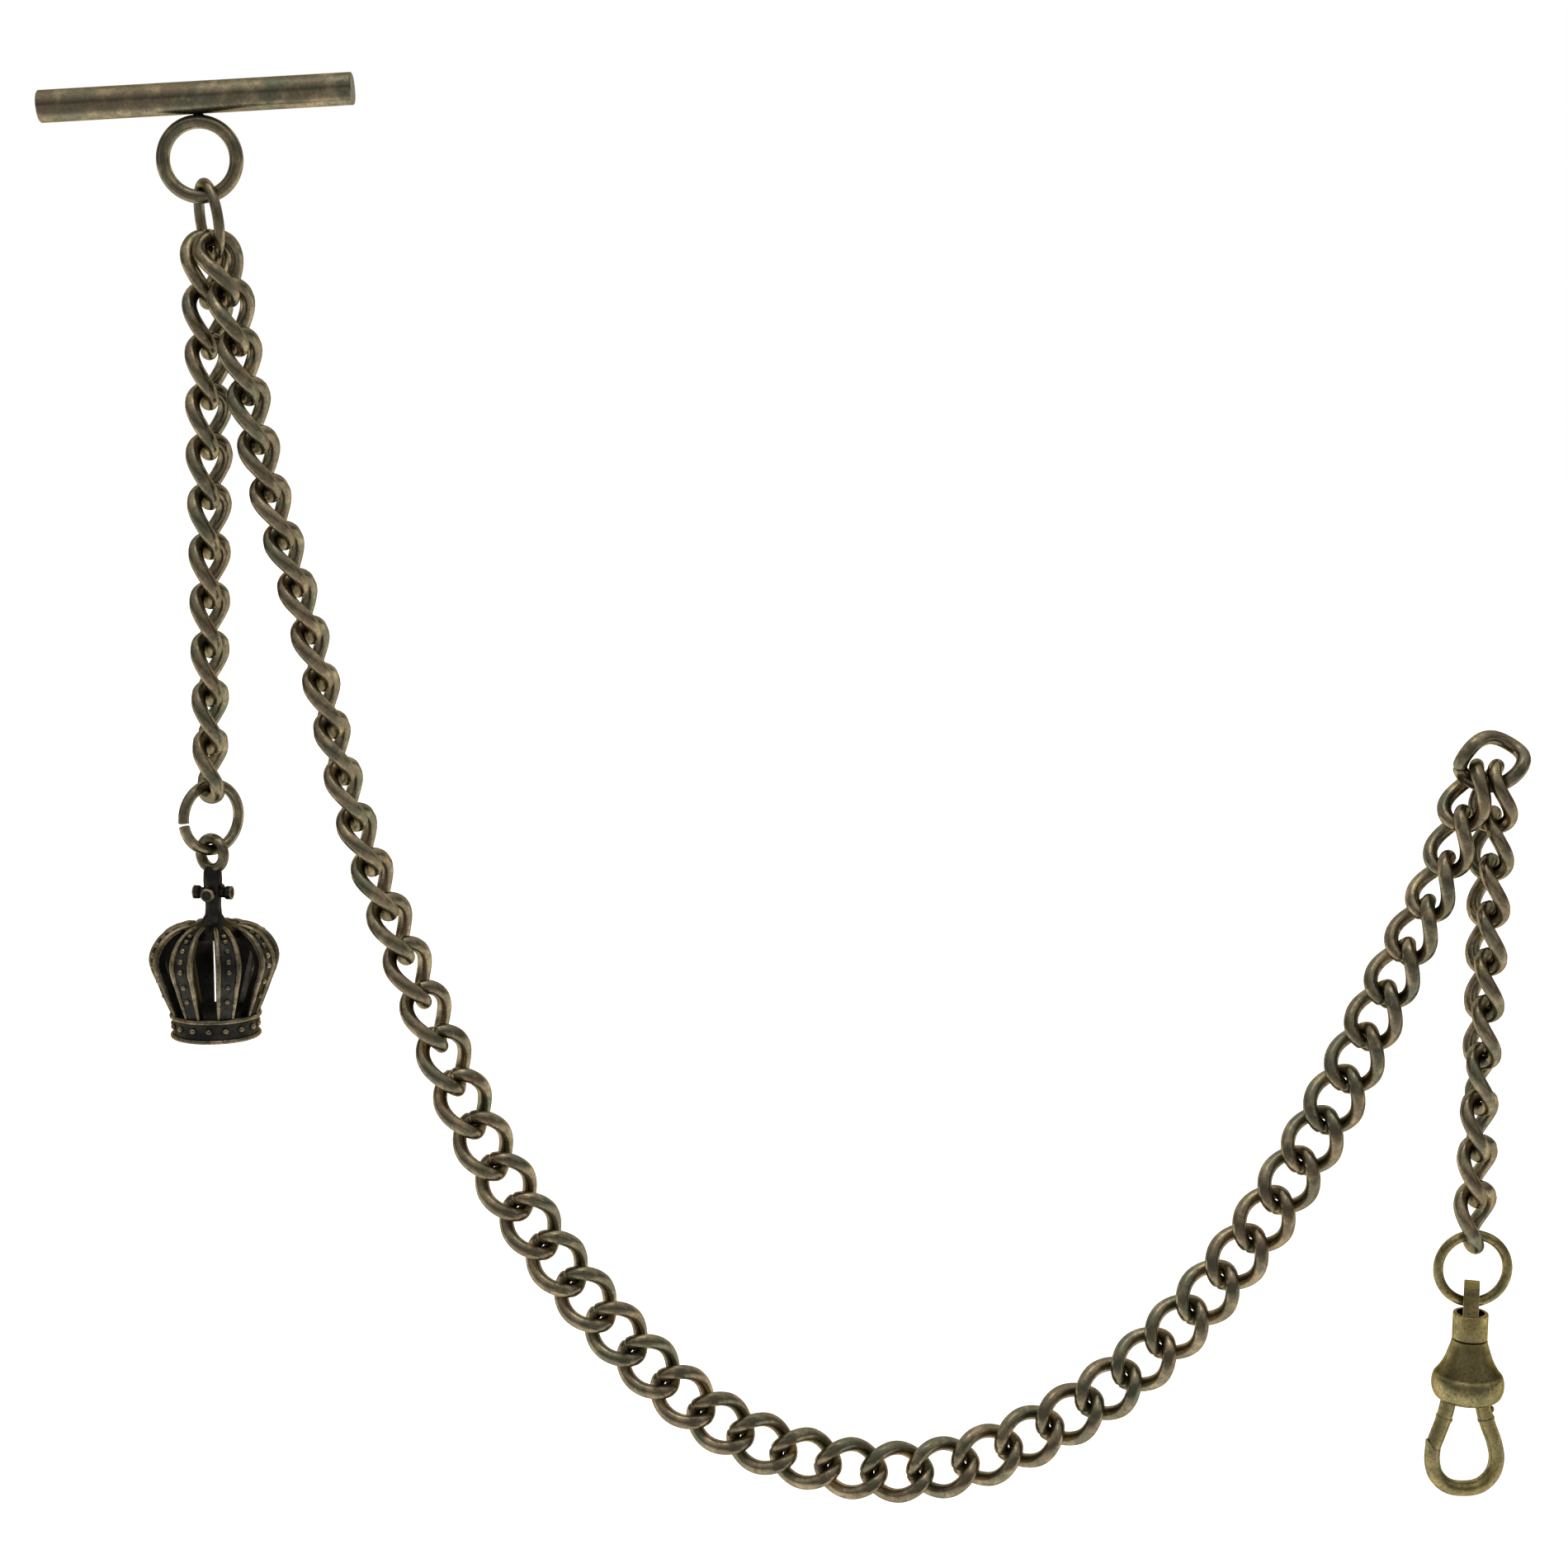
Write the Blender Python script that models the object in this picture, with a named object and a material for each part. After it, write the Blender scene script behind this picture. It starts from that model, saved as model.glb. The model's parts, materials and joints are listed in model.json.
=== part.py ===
"""Double-drop pocket watch chain: T-bar, curb chain, fob drop with a crown charm, and a swivel clasp.

The row frame: origin at the middle of the T-bar, +X to the right along the chain's spread,
+Z up, and the front of the chain faces -Y. Every length below is in millimetres.
"""
import math

import bmesh
import bpy
from mathutils import Matrix, Vector

MM = 0.001

# Curb links: the centreline is an oval twisted about its long axis.
LINK_HALF_LENGTH = 3.97
LINK_HALF_WIDTH = 3.0
LINK_WIRE = 0.9
LINK_TWIST = 45.0
LINK_STEPS = 14
LINK_SIDES = 6
BEAD_RADIUS = 0.5

# Main chain: route points (x, y, z) from the connector link to the hook link.
MAIN_ROUTE = [
    (1.65, -0.96, -17.25), (3.38, -1.81, -22.9), (4.4, -1.95, -28.8), (5.3, -1.56, -34.7),
    (6.2, -0.8, -40.6), (11.9, 0.0, -63.7), (17.1, 0.0, -86.7), (25.1, 0.0, -109.2),
    (34.2, 0.0, -131.1), (47.7, 0.0, -150.9), (65.5, 0.0, -166.5), (88.6, 0.0, -171.3),
    (110.1, 0.0, -161.9), (126.7, 0.0, -144.9), (138.8, 0.0, -124.6), (148.0, -0.3, -102.8),
    (150.3, -0.5, -97.2), (152.4, -0.7, -91.65), (154.1, -0.6, -85.95), (155.96, 0.63, -80.4),
]
MAIN_LINKS = 52
MAIN_ROLLS = [
    (1, -73), (2, -74.5), (3, -80), (8, -87), (11, -90), (14, -80), (17, -58), (19, -35), (21, -20),
    (43, -20), (45, -29), (47, -46), (50, -72), (51, -70), (52, -67),
]
MAIN_GROUPS = ([(2 * n + 1, 2 * n + 2) for n in range(11)] + [(23, 24, 25), (26, 27, 28)]
               + [(2 * n + 29, 2 * n + 30) for n in range(12)])

# Fob drop and right-hand drop: links hanging straight down.
FOB_TOP = [(0.16, 0.8, -17.08), (0.1, 1.29, -23.09), (0.1, 1.5, -29.14)]
FOB_LEAN = -0.115
FOB_PITCH = 6.05
FOB_LINKS = 11
FOB_ROLLS = [(1, -67), (2, -68), (3, -74), (5, -76), (7, -84), (11, -94)]
DROP_TOP = [(158.3, -0.28, -80.35), (158.4, 0.69, -86.28), (158.4, 0.89, -92.28), (158.4, 0.7, -98.28)]
DROP_PITCH = 6.0
DROP_LINKS = 10
DROP_ROLLS = [(1, 72), (2, 76.5), (3, 84), (6, 92), (8, 118), (10, 126)]

# T-bar, its ring and the plain connector link.
BAR_CENTRE = (-0.45, 0.0, 0.0)
BAR_LENGTH = 37.5
BAR_RADIUS = 1.92
BAR_TILT = 3.66
BAR_RING_CENTRE = (-0.17, 0.0, -7.2)
BAR_RING_RADIUS = 4.4
BAR_RING_WIRE = 0.825
CONNECTOR_CENTRE = (0.8, 0.0, -14.29)
CONNECTOR_AXIS = (0.15, 0.0, -1.0)
CONNECTOR_HALF = (4.32, 3.09)
CONNECTOR_WIRE = 0.65
CONNECTOR_YAW = 59.2

# The hook link the main chain and the right-hand drop both hang from.
HOOK_LINK_CENTRE = (157.79, 0.0, -78.85)
HOOK_LINK_AXIS = (0.982, 0.0, 0.189)
HOOK_LINK_ROLL = -10.0

# Jump ring and crown charm, on the fob's own axis.
FOB_X = -0.94
JUMP_RING_Z = -87.06
JUMP_RING_RADIUS = 4.13
JUMP_RING_YAW = 48.0
JUMP_RING_WIRE = 0.675
CROWN_LOOP_Z = -91.65
CROWN_LOOP_HALF = (1.85, 1.9)
CROWN_LOOP_WIRE = 0.68
CROWN_LOOP_YAW = 30.0
CROWN_STEM = [(-93.3, 0.9), (-93.9, 1.15), (-95.6, 1.15), (-97.2, 1.0), (-99.2, 1.03), (-100.0, 1.45),
              (-100.5, 2.4)]
CROWN_OUTER = [(-100.9, 4.3), (-102.1, 6.6), (-104.4, 7.97), (-108.4, 6.9), (-112.1, 5.4), (-113.6, 5.6),
               (-115.1, 5.6)]
CROWN_INNER = [(-102.0, 3.6), (-103.1, 5.4), (-104.8, 6.5), (-108.3, 5.6), (-112.1, 4.3), (-113.6, 4.3),
               (-115.1, 4.3)]
CROWN_STRAPS = 8
CROWN_STRAP_TURN = 24.6
CROWN_STRAP_HALF_ANGLE = 11.0
CROWN_GAP_STEPS = 2
CROWN_OPEN_ROWS = (0, 4)
CROWN_ARM = (2.35, 0.8, -96.55)
CROWN_ARM_TURNS = (83.5, 173.5)

# Clasp: ring, swivel eye, bell, snap hook.
CLASP_X = 158.45
CLASP_Y = 0.6
CLASP_RING_Z = -144.08
CLASP_RING_RADIUS = 4.415
CLASP_RING_WIRE = 0.635
EYE_TOP = -146.1
EYE_HOLE = (-147.65, -149.9)
EYE_HOLE_HALF = 1.05
EYE_HALF_WIDTH = 1.05
EYE_HALF_DEPTH = 2.2
EYE_TURN = -15.5
COLLAR_RADIUS = 2.225
COLLAR_FLOOR = (-152.2, -153.3)
POST_RADIUS = 0.7
POST_BORE = 0.8
POST_HEAD = 1.25
BELL_OUTER = [(-153.4, 2.25), (-155.0, 2.68), (-156.0, 3.03), (-157.0, 3.56), (-157.7, 4.06), (-158.4, 4.44),
              (-159.2, 4.57), (-160.2, 4.44), (-160.9, 4.1), (-161.4, 3.3), (-161.65, 2.6)]
BELL_CAVITY = [(-161.65, 2.0), (-160.6, 2.9), (-157.9, 2.9), (-156.4, 1.9), (-156.4, POST_BORE)]
BELL_SLOT = (3.6, 1.15, -162.6, -159.3)
HOOK_WIRE = 1.0
HOOK_PATH = [(2.1, -159.6), (2.1, -162.2), (2.75, -164.6), (3.75, -167.2), (4.15, -169.5), (3.6, -171.6),
             (2.1, -173.05), (0.0, -173.45), (-2.1, -173.05), (-3.6, -171.6), (-4.15, -169.6), (-4.1, -167.8)]
GATE_PATH = [(-2.5, -162.2), (-2.8, -163.8), (-3.5, -166.0), (-4.1, -167.8)]
CUT_POINT = (-4.1, -167.8)
CUT_DIRECTION = (1.8, -2.2)
CUT_GAP = 0.1
PIN_AT = (-2.2, -160.8)
PIN_RADIUS = 0.4
PIN_BORE = 0.45
PIN_HALF_LENGTH = 3.1
TANG = (0.95, -1.0, 0.1)
SPRING_RADIUS = 0.68
SPRING_WIRE = 0.13
SPRING_SPAN = (0.3, 0.95)
SPRING_TURNS = 2

COLOURS = {
    "antique_bronze": (0.156, 0.114, 0.054),
    "antique_brass": (0.305, 0.223, 0.045),
    "blackened_bronze": (0.048, 0.034, 0.018),
    "spring_steel": (0.42, 0.42, 0.43),
}


def clear_scene():
    for item in list(bpy.data.objects):
        bpy.data.objects.remove(item, do_unlink=True)


def material(slot):
    found = bpy.data.materials.get(slot)
    if found:
        return found
    made = bpy.data.materials.new(slot)
    made.use_nodes = True
    shader = made.node_tree.nodes["Principled BSDF"]
    shader.inputs["Base Color"].default_value = (*COLOURS[slot], 1.0)
    shader.inputs["Metallic"].default_value = 1.0
    shader.inputs["Roughness"].default_value = 0.38
    return made


def add_object(name, verts, faces, slot, pivot=(0.0, 0.0, 0.0)):
    """Make a mesh object whose origin sits at the pivot, from points in millimetres."""
    pivot = Vector(pivot)
    mesh = bpy.data.meshes.new(name)
    mesh.from_pydata([(Vector(v) - pivot) * MM for v in verts], [], faces)
    made = bpy.data.objects.new(name, mesh)
    made.location = pivot * MM
    bpy.context.collection.objects.link(made)
    mesh.materials.append(material(slot))
    tidy = bmesh.new()
    tidy.from_mesh(mesh)
    bmesh.ops.recalc_face_normals(tidy, faces=tidy.faces)
    tidy.to_mesh(mesh)
    tidy.free()
    return made


def combine(target, verts, faces, operation):
    """Join a closed shape to the target, or cut it away, and drop the tool."""
    tool = add_object("tool", verts, faces, "spring_steel")
    step = target.modifiers.new("step", "BOOLEAN")
    step.operation = operation
    step.solver = "EXACT"
    step.object = tool
    bpy.context.view_layer.update()
    result = bpy.data.meshes.new_from_object(target.evaluated_get(bpy.context.evaluated_depsgraph_get()))
    target.modifiers.clear()
    slot = target.data.materials[0]
    target.data = result
    result.materials.clear()
    result.materials.append(slot)
    for face in result.polygons:
        face.material_index = 0
    bpy.data.objects.remove(tool, do_unlink=True)


def grid_faces(rows, sides, closed):
    """Quads between consecutive rings, with end caps when the tube is open."""
    faces = []
    for row in range(rows if closed else rows - 1):
        after = (row + 1) % rows
        for side in range(sides):
            turn = (side + 1) % sides
            faces.append((row * sides + side, row * sides + turn, after * sides + turn, after * sides + side))
    if not closed:
        faces.append(tuple(range(sides)))
        faces.append(tuple(range((rows - 1) * sides, rows * sides)))
    return faces


def tube(points, radius, sides, closed=False, cut=None):
    """Sweep a round wire along the points; cut moves the last ring onto a plane (point, normal)."""
    points = [Vector(p) for p in points]
    count = len(points)
    tangents = []
    for n in range(count):
        before = points[n - 1] if closed or n > 0 else points[n]
        after = points[(n + 1) % count] if closed or n < count - 1 else points[n]
        tangents.append((after - before).normalized())
    across = tangents[0].orthogonal().normalized()
    frames = []
    for tangent in tangents:
        across = (across - tangent * across.dot(tangent)).normalized()
        frames.append(across.copy())
    slip = 0.0
    if closed:
        last = (across - tangents[0] * across.dot(tangents[0])).normalized()
        slip = math.atan2(last.cross(frames[0]).dot(tangents[0]), last.dot(frames[0]))
        step = 2.0 * math.pi / sides
        slip -= step * round(slip / step)
    verts = []
    for n, (point, tangent, across) in enumerate(zip(points, tangents, frames)):
        beside = tangent.cross(across)
        for side in range(sides):
            turn = 2.0 * math.pi * side / sides + slip * n / count
            verts.append(point + (across * math.cos(turn) + beside * math.sin(turn)) * radius)
    if cut:
        plane_point, plane_normal = Vector(cut[0]), Vector(cut[1])
        slope = tangents[-1].dot(plane_normal)
        for n in range(len(verts) - sides, len(verts)):
            verts[n] = verts[n] + tangents[-1] * ((plane_point - verts[n]).dot(plane_normal) / slope)
    return verts, grid_faces(count, sides, closed)


def revolve(profile, centre, sides):
    """Turn a closed (z, radius) outline about a vertical axis; radius 0 is a pole."""
    verts = []
    rings = []
    for z, radius in profile:
        if radius == 0.0:
            rings.append([len(verts)])
            verts.append(Vector((centre[0], centre[1], z)))
            continue
        rings.append(list(range(len(verts), len(verts) + sides)))
        for side in range(sides):
            turn = 2.0 * math.pi * side / sides
            verts.append(Vector((centre[0] + radius * math.cos(turn), centre[1] + radius * math.sin(turn), z)))
    faces = []
    poles = len(rings[0]) == 1
    pairs = list(zip(rings, rings[1:])) + ([] if poles else [(rings[-1], rings[0])])
    for low, high in pairs:
        for side in range(sides):
            turn = (side + 1) % sides
            if len(low) == 1:
                faces.append((low[0], high[turn], high[side]))
            elif len(high) == 1:
                faces.append((low[side], low[turn], high[0]))
            else:
                faces.append((low[side], low[turn], high[turn], high[side]))
    return verts, faces


def box(low, high):
    verts = [Vector((x, y, z)) for x in (low[0], high[0]) for y in (low[1], high[1]) for z in (low[2], high[2])]
    faces = [(0, 1, 3, 2), (4, 6, 7, 5), (0, 4, 5, 1), (2, 3, 7, 6), (0, 2, 6, 4), (1, 5, 7, 3)]
    return verts, faces


def rod(start, end, radius, sides):
    return tube([start, end], radius, sides)


def between(stations, position):
    """Straight-line value between (position, value) stations."""
    for (x0, v0), (x1, v1) in zip(stations, stations[1:]):
        if position <= x1:
            return v0 + (v1 - v0) * (position - x0) / (x1 - x0)
    return stations[-1][1]


def link_frame(direction, roll):
    """Side and front directions of a link that runs along the direction, rolled about it."""
    along = Vector(direction).normalized()
    side = Vector((0.0, -1.0, 0.0)).cross(along).normalized()
    front = along.cross(side)
    return along, side, front


def oval_points(centre, direction, roll, half, twist, steps):
    along, side, front = link_frame(direction, roll)
    points = []
    for n in range(steps):
        turn = 2.0 * math.pi * n / steps
        reach = -half[0] * math.cos(turn)
        spread = half[1] * math.sin(turn)
        tilt = math.radians(roll - twist * reach / half[0])
        points.append(Vector(centre) + along * reach + (side * math.cos(tilt) + front * math.sin(tilt)) * spread)
    return points


def curb_points(start, end, roll):
    start, end = Vector(start), Vector(end)
    half = (LINK_HALF_LENGTH, LINK_HALF_WIDTH)
    return oval_points((start + end) / 2.0, end - start, roll, half, LINK_TWIST, LINK_STEPS)


def smooth_route(points, samples):
    """A curve through every point, as a dense polyline."""
    points = [Vector(p) for p in points]
    padded = [points[0] * 2.0 - points[1]] + points + [points[-1] * 2.0 - points[-2]]
    dense = []
    for p0, p1, p2, p3 in zip(padded, padded[1:], padded[2:], padded[3:]):
        span = (p2 - p1).length
        slope1 = ((p1 - p0) / (p1 - p0).length * span + (p2 - p1) / span * (p1 - p0).length)
        slope1 = slope1 * span / (span + (p1 - p0).length)
        slope2 = ((p3 - p2) / (p3 - p2).length * span + (p2 - p1) / span * (p3 - p2).length)
        slope2 = slope2 * span / (span + (p3 - p2).length)
        for n in range(samples):
            t = n / samples
            dense.append(p1 * (2 * t ** 3 - 3 * t ** 2 + 1) + slope1 * (t ** 3 - 2 * t ** 2 + t)
                         + p2 * (3 * t ** 2 - 2 * t ** 3) + slope2 * (t ** 3 - t ** 2))
    dense.append(points[-1])
    return dense


def equal_steps(dense, count):
    """Points that cut the polyline into equal lengths."""
    lengths = [0.0]
    for a, b in zip(dense, dense[1:]):
        lengths.append(lengths[-1] + (b - a).length)
    joints = []
    place = 0
    for n in range(count + 1):
        target = lengths[-1] * n / count
        while place < len(dense) - 2 and lengths[place + 1] < target:
            place += 1
        part = (target - lengths[place]) / (lengths[place + 1] - lengths[place])
        joints.append(dense[place].lerp(dense[place + 1], part))
    return joints


def hanging_joints(top, count, pitch, lean):
    """The joints of a chain that hangs down below its first few, leaning sideways at every link."""
    joints = [Vector(p) for p in top]
    while len(joints) < count + 1:
        joints.append(joints[-1] + Vector((lean, 0.0, -pitch)))
    return joints


def closest_pair(first, second):
    best = min(((a - b).length, i, j) for i, a in enumerate(first) for j, b in enumerate(second))
    return (first[best[1]] + second[best[2]]) / 2.0


def dense_curb(start, end, roll):
    start, end = Vector(start), Vector(end)
    half = (LINK_HALF_LENGTH, LINK_HALF_WIDTH)
    return oval_points((start + end) / 2.0, end - start, roll, half, LINK_TWIST, 96)


def ball(centre, radius):
    shape = bmesh.new()
    bmesh.ops.create_icosphere(shape, subdivisions=1, radius=radius)
    verts = [Vector(centre) + v.co for v in shape.verts]
    faces = [tuple(v.index for v in f.verts) for f in shape.faces]
    shape.free()
    return verts, faces


def main_chain():
    joints = equal_steps(smooth_route(MAIN_ROUTE, 60), MAIN_LINKS)
    for group in MAIN_GROUPS:
        name = "main_links_" + "_".join(f"{n:02d}" for n in (group[0], group[-1]))
        rolls = [between(MAIN_ROLLS, n) for n in group]
        first = curb_points(joints[group[0] - 1], joints[group[0]], rolls[0])
        made = add_object(name, *tube(first, LINK_WIRE, LINK_SIDES, True), "antique_bronze",
                          joints[group[0] - 1])
        dense = dense_curb(joints[group[0] - 1], joints[group[0]], rolls[0])
        for number, roll in zip(group[1:], rolls[1:]):
            nearer = dense_curb(joints[number - 1], joints[number], roll)
            combine(made, *ball(closest_pair(dense, nearer), BEAD_RADIUS), "UNION")
            points = curb_points(joints[number - 1], joints[number], roll)
            combine(made, *tube(points, LINK_WIRE, LINK_SIDES, True), "UNION")
            dense = nearer
    return joints


def hanging_chain(prefix, top, count, pitch, rolls, lean):
    joints = hanging_joints(top, count, pitch, lean)
    for n in range(count):
        points = curb_points(joints[n], joints[n + 1], between(rolls, n + 1))
        add_object(f"{prefix}_{n + 1:02d}", *tube(points, LINK_WIRE, LINK_SIDES, True), "antique_bronze", joints[n])


def round_ring(centre, half, steps):
    """Centreline of a ring that stands in the X-Z plane."""
    points = []
    for n in range(steps):
        turn = 2.0 * math.pi * n / steps
        points.append(Vector(centre) + Vector((half[0] * math.sin(turn), 0.0, half[1] * math.cos(turn))))
    return points


def bar_parts():
    tilt = math.radians(BAR_TILT)
    reach = Vector((math.cos(tilt), 0.0, math.sin(tilt))) * (BAR_LENGTH / 2.0)
    centre = Vector(BAR_CENTRE)
    add_object("t_bar", *rod(centre - reach, centre + reach, BAR_RADIUS, 20), "antique_bronze")
    ring = round_ring(BAR_RING_CENTRE, (BAR_RING_RADIUS, BAR_RING_RADIUS), 28)
    add_object("t_bar_ring", *tube(ring, BAR_RING_WIRE, 6, True), "antique_bronze")
    pivot = Vector(BAR_RING_CENTRE) - Vector((0.0, 0.0, BAR_RING_RADIUS))
    link = oval_points(CONNECTOR_CENTRE, CONNECTOR_AXIS, CONNECTOR_YAW, CONNECTOR_HALF, 0.0, 24)
    add_object("connector_link", *tube(link, CONNECTOR_WIRE, 6, True), "antique_bronze", pivot)
    hook = oval_points(HOOK_LINK_CENTRE, HOOK_LINK_AXIS, HOOK_LINK_ROLL,
                       (LINK_HALF_LENGTH, LINK_HALF_WIDTH), LINK_TWIST, LINK_STEPS)
    add_object("hook_link", *tube(hook, LINK_WIRE, LINK_SIDES, True), "antique_bronze", HOOK_LINK_CENTRE)


def crown_shell(centre):
    """Stem, dome, straps and band as one wall; the gaps between the straps are open."""
    columns = []
    for strap in range(CROWN_STRAPS):
        middle = CROWN_STRAP_TURN + 360.0 * strap / CROWN_STRAPS
        columns.append((middle - CROWN_STRAP_HALF_ANGLE, False))
        gap = 360.0 / CROWN_STRAPS - 2.0 * CROWN_STRAP_HALF_ANGLE
        for n in range(CROWN_GAP_STEPS):
            columns.append((middle + CROWN_STRAP_HALF_ANGLE + gap * n / CROWN_GAP_STEPS, True))
    count = len(columns)
    verts = []

    def ring(z, radius):
        first = len(verts)
        for angle, _ in columns:
            turn = math.radians(angle)
            verts.append(Vector((centre[0] + radius * math.cos(turn), centre[1] + radius * math.sin(turn), z)))
        return first

    def pole(z):
        verts.append(Vector((centre[0], centre[1], z)))
        return len(verts) - 1

    faces = []
    top = pole(CROWN_STEM[0][0] + 0.2)
    stem = [ring(z, radius) for z, radius in CROWN_STEM]
    outer = [ring(z, radius) for z, radius in CROWN_OUTER]
    inner = [ring(z, radius) for z, radius in CROWN_INNER]
    inner_top = pole(CROWN_INNER[0][0] + 0.5)
    smooth = stem + [outer[0]]
    for n in range(count):
        after = (n + 1) % count
        faces.append((top, stem[0] + n, stem[0] + after))
        faces.append((inner_top, inner[0] + after, inner[0] + n))
        for low, high in zip(smooth, smooth[1:]):
            faces.append((low + n, high + n, high + after, low + after))
        faces.append((outer[-1] + n, inner[-1] + n, inner[-1] + after, outer[-1] + after))
        for row in range(len(outer) - 1):
            gap_row = CROWN_OPEN_ROWS[0] <= row < CROWN_OPEN_ROWS[1]
            if gap_row and columns[n][1]:
                continue
            faces.append((outer[row] + n, outer[row + 1] + n, outer[row + 1] + after, outer[row] + after))
            faces.append((inner[row] + n, inner[row] + after, inner[row + 1] + after, inner[row + 1] + n))
            if gap_row:
                faces.append((outer[row] + n, inner[row] + n, inner[row + 1] + n, outer[row + 1] + n))
                faces.append((outer[row] + after, outer[row + 1] + after, inner[row + 1] + after,
                              inner[row] + after))
        if columns[n][1]:
            for row in CROWN_OPEN_ROWS:
                faces.append((outer[row] + n, outer[row] + after, inner[row] + after, inner[row] + n))
    return verts, faces


def crown_parts(fob_y):
    centre = (FOB_X, fob_y)
    ring = oval_points((FOB_X, fob_y, JUMP_RING_Z), (0.0, 0.0, -1.0), -JUMP_RING_YAW,
                       (JUMP_RING_RADIUS, JUMP_RING_RADIUS), 0.0, 20)
    pivot = (FOB_X, fob_y, JUMP_RING_Z + JUMP_RING_RADIUS)
    add_object("jump_ring", *tube(ring, JUMP_RING_WIRE, 6, True), "antique_bronze", pivot)
    pivot = (FOB_X, fob_y, JUMP_RING_Z - JUMP_RING_RADIUS)
    crown = add_object("crown_charm", *crown_shell(centre), "blackened_bronze", pivot)
    loop = oval_points((FOB_X, fob_y, CROWN_LOOP_Z), (0.0, 0.0, -1.0), CROWN_LOOP_YAW,
                       (CROWN_LOOP_HALF[1], CROWN_LOOP_HALF[0]), 0.0, 16)
    combine(crown, *tube(loop, CROWN_LOOP_WIRE, 8, True), "UNION")
    reach, radius, height = CROWN_ARM
    for turn in CROWN_ARM_TURNS:
        way = Vector((math.cos(math.radians(turn)), math.sin(math.radians(turn)), 0.0)) * reach
        middle = Vector((FOB_X, fob_y, height))
        combine(crown, *rod(middle - way, middle + way, radius, 8), "UNION")


def clasp_point(across, height, depth=0.0):
    return Vector((CLASP_X + across, CLASP_Y + depth, height))


def turned(shape, axis, angle):
    """A shape turned about an upright axis."""
    verts, faces = shape
    spin = Matrix.Rotation(math.radians(angle), 3, "Z")
    return [axis + spin @ (Vector(v) - axis) for v in verts], faces


def swivel_parts():
    ring = round_ring(clasp_point(0.0, CLASP_RING_Z), (CLASP_RING_RADIUS, CLASP_RING_RADIUS), 24)
    pivot = clasp_point(0.0, CLASP_RING_Z + CLASP_RING_RADIUS)
    add_object("clasp_ring", *tube(ring, CLASP_RING_WIRE, 6, True), "antique_brass", pivot)
    pivot = clasp_point(0.0, CLASP_RING_Z - CLASP_RING_RADIUS)
    axis = clasp_point(0.0, 0.0)
    floor_top, floor_base = COLLAR_FLOOR
    cup = [(EYE_HOLE[1], COLLAR_RADIUS), (floor_base, COLLAR_RADIUS), (floor_base, POST_BORE - 0.1),
           (floor_top, POST_BORE - 0.1), (floor_top, 1.6), (EYE_HOLE[1], 1.6)]
    eye = add_object("swivel_eye", *revolve(cup, axis, 20), "antique_brass", pivot)
    staple = box(clasp_point(-EYE_HALF_WIDTH, EYE_HOLE[1] - 0.7, -EYE_HALF_DEPTH),
                 clasp_point(EYE_HALF_WIDTH, EYE_TOP, EYE_HALF_DEPTH))
    combine(eye, *turned(staple, axis, EYE_TURN), "UNION")
    hole = box(clasp_point(-2.0, EYE_HOLE[1] - 1.2, -EYE_HOLE_HALF), clasp_point(2.0, EYE_HOLE[0], EYE_HOLE_HALF))
    combine(eye, *turned(hole, axis, EYE_TURN), "DIFFERENCE")
    head_top = floor_top + 0.6
    post = [(head_top, 0.0), (head_top, POST_HEAD), (floor_top + 0.1, POST_HEAD), (floor_top + 0.1, 0.6),
            (-156.5, 0.6), (-156.5, POST_HEAD), (-157.1, POST_HEAD), (-157.1, 0.0)]
    add_object("swivel_post", *revolve(post, axis, 16), "antique_brass", pivot)


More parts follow.
